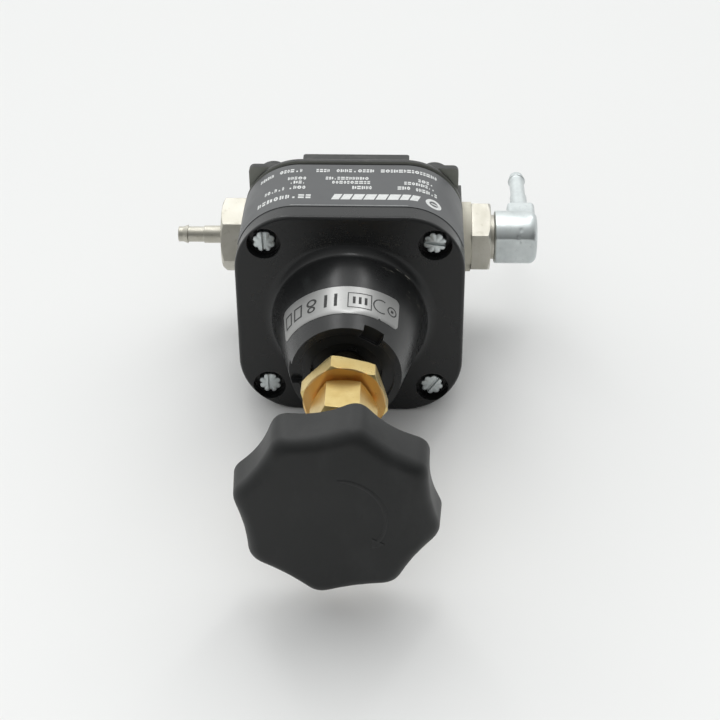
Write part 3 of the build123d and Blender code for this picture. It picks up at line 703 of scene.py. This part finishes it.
glandLow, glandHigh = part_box("gland_bush")
nutLow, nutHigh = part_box("lock_nut")
hexDepth = 5.3 * mm
glandShape = {
    "front": glandLow.y, "back": glandLow.y + hexDepth, "flats": 19.05 * mm, "turn": 46.3,
    "faceRadius": 10.2 * mm, "chamferAngle": 28, "bore": 4.0 * mm, "lead": 0.5 * mm,
    "dish": 0.25 * mm,
}
lockNutShape = {
    "front": nutLow.y, "back": nutHigh.y, "flats": 14.29 * mm, "turn": 0,
    "faceRadius": 7.0 * mm, "chamferAngle": 30, "bore": 4.0 * mm, "lead": 0.4 * mm, "dish": 0,
}
neckThread = {"crest": 4.98 * mm, "root": 4.5 * mm, "pitch": 1.0 * mm}
neckShape = {"bore": 4.05 * mm, "undercut": 0.8 * mm, "threadFrom": 1.0 * mm}


def buildGland():
    hexNut("gland_hex", "gland_bush", "housing", glandShape)
    around = 96
    start = glandShape["back"]
    bore, root = neckShape["bore"], neckThread["root"]

    def ring(radius, y):
        return [onAxis(radius, tau * b / around, y) for b in range(around)]

    rings = [ring(bore, start), ring(root, start), ring(root, start + neckShape["undercut"])]
    rings += threadRings(start + neckShape["threadFrom"], glandHigh.y, around=around, **neckThread)
    rings.append(ring(bore, glandHigh.y))
    verts, faces = tubeGrid(rings)
    neck = meshObject("gland_thread", verts, faces, sharpAngle=60)
    # the neck is dressed near-black: painted shade, where it sits in shadow behind the hex
    dress(neck, paintedShadeThread)
    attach(neck, "housing")


buildAdjustingScrew()
buildGland()
hexNut("lock_nut_hex", "lock_nut", "lock_nut", lockNutShape)
print("regulator: brass and threads made")


elbowLook = {
    "voxel": 0.2 * mm, "smoothings": 24,
    "barbKeep": 0.05,                 # how much of the smoothing reaches the barb
    "armReach": 13.0 * mm, "armFade": 1.5 * mm,
    "dimples": ((0.6, 0.6), (1.3, 2.2), (0.9, -1.0)),      # across and up in mm, from the middle
    "dimpleRadius": 0.6 * mm, "dimpleDepth": 0.14 * mm,
    "dimpleHeight": 3.0 * mm,         # middle of the dimples above the control axis
    "dimpleFront": -3.5 * mm,         # only the skin ahead of this is pressed in
}


def buildElbow():
    # forged elbow: the plain solid, closed over and worn smooth, its barb kept crisper
    look = elbowLook
    piece = newPiece("elbow_body", nodes("elbow_fitting").data.copy())
    remesh = piece.modifiers.new("skin", "REMESH")
    remesh.mode = "VOXEL"
    remesh.voxel_size = look["voxel"]
    finished = workIn(piece)
    worn = piece.vertex_groups.new(name="worn")
    for v in finished.vertices:
        onBody = max(0.0, min(1.0, (look["armReach"] - v.co.y) / look["armFade"]))
        worn.add([v.index], look["barbKeep"] + (1 - look["barbKeep"]) * onBody, "REPLACE")
    smooth = piece.modifiers.new("worn", "SMOOTH")
    smooth.factor = 0.5
    smooth.iterations = look["smoothings"]
    smooth.vertex_group = "worn"
    finished = workIn(piece)
    piece.vertex_groups.clear()
    # shallow dimples on the upper front
    low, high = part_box("elbow_fitting")
    middle = Vector(((low.x + high.x) / 2, 0, axisZ + look["dimpleHeight"]))
    for across, upward in look["dimples"]:
        centre = middle + Vector((across * mm, 0, upward * mm))
        for v in finished.vertices:
            gap = Vector((v.co.x - centre.x, 0, v.co.z - centre.z)).length
            if v.co.y < look["dimpleFront"] and gap < look["dimpleRadius"]:
                v.co.y += look["dimpleDepth"] * (1 - (gap / look["dimpleRadius"]) ** 2)
    finished.shade_smooth()
    dress(piece, zinc)
    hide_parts("elbow_fitting")
    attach(piece, "housing")


buildElbow()
print("regulator: elbow made")


screwHead = {
    "outer": 3.05 * mm, "valley": 2.3 * mm, "lobes": 8, "height": 2.4 * mm, "round": 0.3 * mm,
    "slotWidth": 0.85 * mm, "slotDepth": 0.8 * mm, "slotLength": 8.0 * mm, "dome": 0.3 * mm,
    "underside": 1.9 * mm, "edgeWidth": 0.06 * mm, "power": 0.55,
    "slots": ((-1, 1, 92), (1, 1, -8), (-1, -1, 90), (1, -1, 55)),      # side, height, turn
}


def buildScrewHead(side, up, slotAngle):
    shape = screwHead
    centre = (side * (screwHigh.x - screwLow.x - 2 * shape["outer"]) / 2,
              axisZ + up * (screwHigh.z - screwLow.z - 2 * shape["outer"]) / 2)
    front = screwLow.y
    around = 96
    angles = [tau * k / around for k in range(around)]

    def lobed(a):
        wave = abs(math.sin(shape["lobes"] / 2 * (a - math.radians(slotAngle))))
        return shape["valley"] + (shape["outer"] - shape["valley"]) * wave ** shape["power"]

    outline = [lobed(a) for a in angles]
    rings = []
    for k in range(1, 15):
        share = k / 14
        rings.append([
            onAxis((r - shape["round"]) * share, a, front + shape["dome"] * share ** 2, centre)
            for r, a in zip(outline, angles)
        ])
    for k in range(1, 6):
        turn = math.pi / 2 * k / 5
        rings.append([
            onAxis(r - shape["round"] * (1 - math.sin(turn)), a,
                   front + shape["dome"] + shape["round"] * (1 - math.cos(turn)), centre)
            for r, a in zip(outline, angles)
        ])
    rings.append([onAxis(r, a, front + shape["height"], centre) for r, a in zip(outline, angles)])
    rings.append([onAxis(shape["underside"], a, front + shape["height"], centre) for a in angles])
    verts, faces = ringGrid(rings)
    where = f"{'right' if side > 0 else 'left'}_{'top' if up > 0 else 'low'}"
    piece = meshObject("cover_screw_" + where, verts, faces, sharpAngle=35)
    # the slot is cut with a box set across the head
    box = bmesh.new()
    bmesh.ops.create_cube(box, size=1.0)
    turnMatrix = Matrix.Rotation(-math.radians(slotAngle), 4, "Y")
    placeMatrix = Matrix.Translation((centre[0], front, centre[1]))
    sizes = (shape["slotLength"], 2 * shape["slotDepth"], shape["slotWidth"], 1)
    sizeMatrix = Matrix.Diagonal(sizes)
    bmesh.ops.transform(box, matrix=placeMatrix @ turnMatrix @ sizeMatrix, verts=box.verts)
    cutterMesh = bpy.data.meshes.new("slotCutter")
    box.to_mesh(cutterMesh)
    box.free()
    cutter = newPiece("slotCutter", cutterMesh)
    cut = piece.modifiers.new("slot", "BOOLEAN")
    cut.operation = "DIFFERENCE"
    cut.object = cutter
    cut.solver = "EXACT"
    soften = piece.modifiers.new("soften", "BEVEL")
    soften.width = shape["edgeWidth"]
    soften.segments = 2
    soften.limit_method = "ANGLE"
    soften.angle_limit = math.radians(50)
    finished = workIn(piece)
    finished.shade_smooth()
    finished.set_sharp_from_angle(angle=math.radians(35))
    bpy.data.objects.remove(cutter)
    dress(piece, zinc)
    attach(piece, "housing")
    return piece


for k, place in enumerate(screwHead["slots"]):
    head = buildScrewHead(*place)
    if k == 0:
        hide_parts("cover_screws")
print("regulator: cover screws made")


coilLook = {
    "range_coil": ("range_spring", "spring_seat_travel", 6.01 * mm),
    "valve_coil": ("valve_spring", "valve_travel", 1.2 * mm),
    "slack": 0.4 * mm,
}


def buildCoils():
    # springs copied from the model and shortened toward their fixed ends by the slack
    for name in ("range_coil", "valve_coil"):
        node, joint, travel = coilLook[name]
        low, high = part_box(node)
        length = high.y - low.y
        piece = newPiece(name, nodes(node).data.copy())
        for v in piece.data.vertices:
            v.co.y = low.y + (v.co.y - low.y) * (length - coilLook["slack"]) / length
        dress(piece, plainSteel)
        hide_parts(node)
        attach(piece, "housing")
        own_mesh(piece)


buildCoils()
print("regulator: springs made")


caseLabel = {
    "reach": 35.6 * mm, "front": 5.8 * mm, "back": 29.0 * mm, "corner": 2.2 * mm,
    "under": 0.02 * mm, "over": 0.145 * mm, "print": 0.163 * mm,
}
coneLabel = {
    "left": -20.6 * mm, "right": 14.6 * mm, "half": 4.75 * mm, "corner": 1.5 * mm,
    "under": 0.02 * mm, "over": 0.13 * mm, "print": 0.15 * mm,
    "nickAt": 8.6 * mm, "nickWidth": 0.9 * mm, "nickDepth": 0.55 * mm,
}
coneFlat = {"base": 20.0 * mm, "start": 2.0 * mm, "slope": (20.0 - 13.95) / 25.0, "middle": 17.6 * mm}


def casePoint(along, behind, lift):
    # walk round the case outline from the middle of the top side, +X first
    flat = halfCase - caseCorner
    side = 1 if along >= 0 else -1
    d = abs(along)
    if d <= flat:
        return Vector((side * d, flangeY + behind, axisZ + halfCase + lift))
    turn = (d - flat) / caseCorner
    out = Vector((side * math.sin(turn), 0, math.cos(turn))) * (caseCorner + lift)
    return Vector((side * flat, flangeY + behind, axisZ + flat)) + out


def conePoint(along, across, lift):
    # wrap a flat strip round the cone: along it from the top line, across it toward the knob
    slope = coneFlat["slope"]
    lean = slope / math.sqrt(1 + slope * slope)
    radius = coneFlat["base"] - slope * (coneFlat["middle"] - coneFlat["start"])
    apex = radius / lean
    dist = math.hypot(along, apex - across)
    turn = math.atan2(along, apex - across) / lean
    here = dist * lean
    ahead = coneFlat["start"] + (coneFlat["base"] - here) / slope
    return onAxis(here + lift, math.pi / 2 - turn, flangeY - ahead)


filmStep = 0.6 * mm      # widest column of a film
filmEdge = 0.04 * mm     # its softened edge


def filmSheet(name, toPoint, u0, u1, v0, v1, corner, under, over, nick=None):
    # thin film with rounded corners, built in columns so that it bends with the surface
    columns = [u0 + corner * (1 - math.cos(math.pi / 2 * k / 6)) for k in range(7)]
    inner = int((u1 - u0 - 2 * corner) / filmStep)
    columns += [u0 + corner + (u1 - u0 - 2 * corner) * k / inner for k in range(1, inner)]
    columns += [u1 - corner * (1 - math.sin(math.pi / 2 * k / 6)) for k in range(7)]
    if nick:
        at, width, depth = nick
        columns += [at - width / 2, at, at + width / 2]
        columns.sort()
    verts = []
    for u in columns:
        gap = max(0.0, corner - min(u - u0, u1 - u))
        cut = corner - math.sqrt(max(corner * corner - gap * gap, 0.0))
        low, high = v0 + cut, v1 - cut
        if nick and abs(u - at) < width / 2 + 1e-9:
            high -= depth * (1 - abs(u - at) / (width / 2))
        rows = [(low, under), (low, over - filmEdge), (low + filmEdge, over)]
        rows += [(low + (high - low) * k / 6, over) for k in range(1, 6)]
        rows += [(high - filmEdge, over), (high, over - filmEdge), (high, under)]
        verts += [toPoint(u, v, lift) for v, lift in rows]
    count = len(rows)
    faces = []
    for a in range(len(columns) - 1):
        for b in range(count):
            c = (b + 1) % count
            faces.append((a * count + b, a * count + c, (a + 1) * count + c, (a + 1) * count + b))
    last = (len(columns) - 1) * count
    faces.append(tuple(range(count)))
    faces.append(tuple(range(last + count - 1, last - 1, -1)))
    return meshObject(name, verts, faces, sharpAngle=40)


inkDepth = 0.014 * mm


class Print:
    # flat printing laid on a film, in millimetres along and across it
    def __init__(self, toPoint, lift):
        self.toPoint = lambda u, v: toPoint(u * mm, v * mm, lift)
        self.verts = []
        self.faces = []

    def bar(self, u0, u1, v0, v1, slant=0.0):
        steps = max(1, int(abs(u1 - u0) / 0.7) + 1)
        first = len(self.verts)
        for k in range(steps + 1):
            u = u0 + (u1 - u0) * k / steps
            self.verts.append(self.toPoint(u, v0))
            self.verts.append(self.toPoint(u + slant * (v1 - v0), v1))
        for k in range(steps):
            a = first + 2 * k
            self.faces.append((a, a + 2, a + 3, a + 1))

    def ring(self, u, v, outer, inner, start=0, sweep=360, stretch=1.0):
        steps = max(6, int(sweep / 12))
        first = len(self.verts)
        for k in range(steps + 1):
            angle = math.radians(start + sweep * k / steps)
            for radius in (outer, inner):
                self.verts.append(self.toPoint(
                    u + stretch * radius * math.cos(angle), v + radius * math.sin(angle)
                ))
        for k in range(steps):
            a = first + 2 * k
            self.faces.append((a, a + 2, a + 3, a + 1))

    def frame(self, u0, u1, v0, v1, line):
        self.bar(u0, u1, v0, v0 + line)
        self.bar(u0, u1, v1 - line, v1)
        self.bar(u0, u0 + line, v0 + line, v1 - line)
        self.bar(u1 - line, u1, v0 + line, v1 - line)

    def words(self, rng, u0, u1, v0, v1, mark=0.95, gap=0.24):
        # greeked line: small blocks and dots of uneven width, not letters
        u = u0
        while u < u1 - mark * 0.5:
            width = min(mark * rng.uniform(0.6, 1.2), u1 - u)
            style = rng.random()
            high = v1 - v0
            if style < 0.4:
                self.bar(u, u + width, v0, v0 + high * 0.42)
                self.bar(u, u + width, v0 + high * 0.62, v1)
            elif style < 0.7:
                self.bar(u, u + width * 0.42, v0, v1)
                self.bar(u + width * 0.6, u + width, v0 + high * 0.1, v1 - high * 0.1)
            elif style < 0.9:
                self.ring(u + width / 2, (v0 + v1) / 2, high / 2, high * 0.16, stretch=width / high)
            else:
                self.bar(u + width * 0.3, u + width * 0.7, v0, v0 + high * 0.4)
            u += width + gap

    def piece(self, name, material, slot):
        made = meshObject(name, self.verts, self.faces, smooth=False)
        solid = made.modifiers.new("thick", "SOLIDIFY")
        solid.thickness = inkDepth
        solid.offset = 0.0
        workIn(made)
        dress(made, material)
        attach(made, "housing")


# Lines of print as (from, to) along the label and a band behind the flange face.
caseLines = {
    "small": (
        (-25.4, -20.6, 24.3, 26.1), (-19.4, -13.4, 24.6, 26.4),
        (-9.6, -5.4, 24.7, 26.4), (-4.2, 6.4, 24.7, 26.4), (7.6, 23.4, 24.7, 26.4),
        (-16.9, -12.1, 20.3, 21.9), (-6.9, 4.9, 20.4, 22.0), (17.6, 22.2, 20.2, 21.8),
        (-16.2, -12.0, 18.0, 19.6), (-5.1, 4.9, 18.1, 19.7), (13.9, 22.2, 17.9, 19.5),
        (-23.1, -17.6, 14.9, 16.7), (-16.4, -11.7, 15.0, 16.8), (0.3, 5.4, 15.1, 16.9),
        (12.2, 16.0, 15.0, 16.8), (17.0, 23.4, 14.8, 16.6),
    ),
    "number": (-25.0, -9.6, 9.9, 12.0),
    "blocks": (-5.0, 18.0, 9.4, 12.3), "blockWidth": (1.9, 2.9), "blockGap": 0.4,
    "blockLean": 0.3, "blockLeast": 1.4,
    "badge": (21.9, 10.6, 2.3),
    "fineLine": (-15.4, 15.0, 6.2, 6.3),      # along the front of the label
}


def buildCaseLabel():
    look = caseLabel
    film = filmSheet(
        "case_label_film", casePoint, -look["reach"], look["reach"], look["front"],
        look["back"], look["corner"], look["under"], look["over"],
    )
    dress(film, darkFilm)
    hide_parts("case_label")
    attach(film, "housing")
    rng = random.Random(11)
    ink = Print(casePoint, look["print"] - inkDepth / 2)
    for line in caseLines["small"]:
        ink.words(rng, *line)
    ink.words(rng, *caseLines["number"], mark=1.35, gap=0.45)
    # leaning blocks stand where a name would be
    u0, u1, v0, v1 = caseLines["blocks"]
    u = u0
    while u < u1 - caseLines["blockLeast"]:
        width = rng.uniform(*caseLines["blockWidth"])
        ink.bar(u, min(u + width, u1), v0, v1, slant=caseLines["blockLean"])
        u += width + caseLines["blockGap"]
    u, v, size = caseLines["badge"]
    ink.ring(u, v, size, size * 0.55)
    ink.bar(u - 0.9, u + 0.9, v - 0.25, v + 0.25, slant=0.8)
    ink.bar(*caseLines["fineLine"])
    ink.piece("case_print", whiteInk, "label_dark")


# Marks on the cone label, in mm along it and across it: plain frames, bars and rings.
coneMarks = {
    "frames": ((-19.4, -16.4, -2.2, 1.9, 0.5), (-15.4, -12.4, -2.2, 1.9, 0.5),
               (0.2, 6.4, -2.6, 2.6, 0.26)),
    "bars": ((-5.8, -5.0, -2.3, 2.0), (-3.2, -2.4, -2.3, 2.0), (1.5, 2.2, -1.2, 1.2),
             (3.0, 3.7, -1.2, 1.2), (4.5, 5.2, -1.2, 1.2), (11.9, 12.7, -0.3, 0.5)),
    "rings": ((-9.4, -1.0, 1.25, 0.75, 0, 360, 1.2), (-9.4, 1.2, 1.0, 0.55, 0, 360, 1.2),
              (9.0, 0.1, 2.3, 1.95, 60, 240), (12.3, 0.1, 1.5, 1.15)),
}


def buildConeLabel():
    look = coneLabel
    nick = (look["nickAt"], look["nickWidth"], look["nickDepth"])
    film = filmSheet(
        "cone_label_film", conePoint, look["left"], look["right"], -look["half"], look["half"],
        look["corner"], look["under"], look["over"], nick,
    )
    dress(film, silverFilm)
    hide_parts("cone_label")
    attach(film, "housing")
    ink = Print(conePoint, look["print"] - inkDepth / 2)
    for marks, draw in (("frames", ink.frame), ("bars", ink.bar), ("rings", ink.ring)):
        for mark in coneMarks[marks]:
            draw(*mark)
    ink.piece("cone_print", blackInk, "label_silver")


buildCaseLabel()
buildConeLabel()
print("regulator: labels and their printing made")


stageLook = {
    "floor": (0.80, 0.80, 0.795), "floorPale": (0.81, 0.81, 0.805),
    "benchHalf": 3.0, "benchDrop": 0.05 * mm, "benchSpecular": 0.35,
    "roomTint": (0.985, 1.0, 0.995, 1.0),
    "front": 0.15, "back": 0.97, "depthSpan": (-0.55, 0.5),      # room brightness by direction
    "ceiling": 0.32, "heightSpan": (0.3, 0.95),
    "leftSide": 0.15, "rightSide": -0.11, "sideSpan": (-0.9, 0.9),
    "strips": 1.25, "stripAcross": 0.19, "stripBack": 0.30, "stripHeight": 0.84,
    "stripAim": (0, -0.05, axisZ), "stripSize": (0.10, 1.10),
    "fill": 3.0, "fillPlace": (0, -0.9, 0.7), "fillAim": (0, -0.05, 0), "fillSize": (1.6, 0.9),
}


def buildStage():
    mesh = bpy.data.meshes.new("bench")
    bm = bmesh.new()
    bmesh.ops.create_grid(bm, x_segments=8, y_segments=8, size=stageLook["benchHalf"])
    bm.to_mesh(mesh)
    bm.free()
    bench = newPiece("bench", mesh)
    bench.location.z = -stageLook["benchDrop"]
    f = Finish("benchTop")
    f.set(
        Base_Color=f.blend(f.noise(3.0), stageLook["floor"], stageLook["floorPale"]),
        Roughness=f.span(f.noise(6.0), 0.3, 0.7, 0.30, 0.36),
    )
    f.shader.inputs["Specular IOR Level"].default_value = stageLook["benchSpecular"]
    dress(bench, f.material)


def buildRoom():
    # pale room: dim in front, brighter behind the bench, brightest overhead
    world = bpy.data.worlds.new("paleRoom")
    bpy.context.scene.world = world
    world.use_nodes = True
    tree = world.node_tree
    way = tree.nodes.new("ShaderNodeTexCoord").outputs["Generated"]
    split = tree.nodes.new("ShaderNodeSeparateXYZ")
    tree.links.new(way, split.inputs[0])

    def ramp(axis, span, outLow, outHigh):
        new = tree.nodes.new("ShaderNodeMapRange")
        new.interpolation_type = "SMOOTHSTEP"
        tree.links.new(split.outputs[axis], new.inputs["Value"])
        values = (*span, outLow, outHigh)
        for key, value in zip(("From Min", "From Max", "To Min", "To Max"), values):
            new.inputs[key].default_value = value
        return new.outputs["Result"]

    def add(a, b):
        new = tree.nodes.new("ShaderNodeMath")
        tree.links.new(a, new.inputs[0])
        tree.links.new(b, new.inputs[1])
        return new.outputs[0]

    look = stageLook
    depth = ramp("Y", look["depthSpan"], look["front"], look["back"])
    height = ramp("Z", look["heightSpan"], 0.0, look["ceiling"])
    sides = ramp("X", look["sideSpan"], look["leftSide"], look["rightSide"])
    total = add(add(depth, height), sides)
    background = tree.nodes["Background"]
    background.inputs["Color"].default_value = look["roomTint"]
    tree.links.new(total, background.inputs["Strength"])


def softBox(name, place, aim, size, power):
    light = bpy.data.lights.new(name, "AREA")
    light.shape = "RECTANGLE"
    light.size, light.size_y = size
    light.energy = power
    lamp = newPiece(name, light)
    lamp.location = place
    lamp.rotation_euler = (Vector(aim) - Vector(place)).to_track_quat("-Z", "Y").to_euler()
    return lamp


buildStage()
buildRoom()
for name, side in (("stripLeft", -1), ("stripRight", 1)):
    place = (side * stageLook["stripAcross"], stageLook["stripBack"], stageLook["stripHeight"])
    softBox(name, place, stageLook["stripAim"], stageLook["stripSize"], stageLook["strips"])
fill = softBox(
    "frontFill", stageLook["fillPlace"], stageLook["fillAim"], stageLook["fillSize"],
    stageLook["fill"],
)
fill.visible_glossy = False      # it lights the front and isn't mirrored in the metal

cameraLook = {
    "place": (15.67 * mm, -407.93 * mm, 259.56 * mm),
    "ahead": (-0.02999, 0.83122, -0.55514),
    "right": (0.99935, 0.03605, 0.0),
    "roll": 0.471, "lens": 81.454, "sensor": 36.0, "nearest": 0.01, "farthest": 20.0,
}


def buildCamera():
    look = cameraLook
    data = bpy.data.cameras.new("camera")
    data.lens = look["lens"]
    data.sensor_width = look["sensor"]
    data.clip_start = look["nearest"]
    data.clip_end = look["farthest"]
    camera = newPiece("camera", data)
    ahead = Vector(look["ahead"]).normalized()
    right = Vector(look["right"]).normalized()
    up = right.cross(ahead).normalized()
    roll = math.radians(look["roll"])
    newRight = math.cos(roll) * right - math.sin(roll) * up
    newUp = math.sin(roll) * right + math.cos(roll) * up
    turn = Matrix((newRight, newUp, -ahead)).transposed()
    camera.matrix_world = Matrix.Translation(look["place"]) @ turn.to_4x4()
    bpy.context.scene.camera = camera


buildCamera()
bpy.context.scene.view_settings.view_transform = "Standard"
print("regulator: bench, light and camera set")
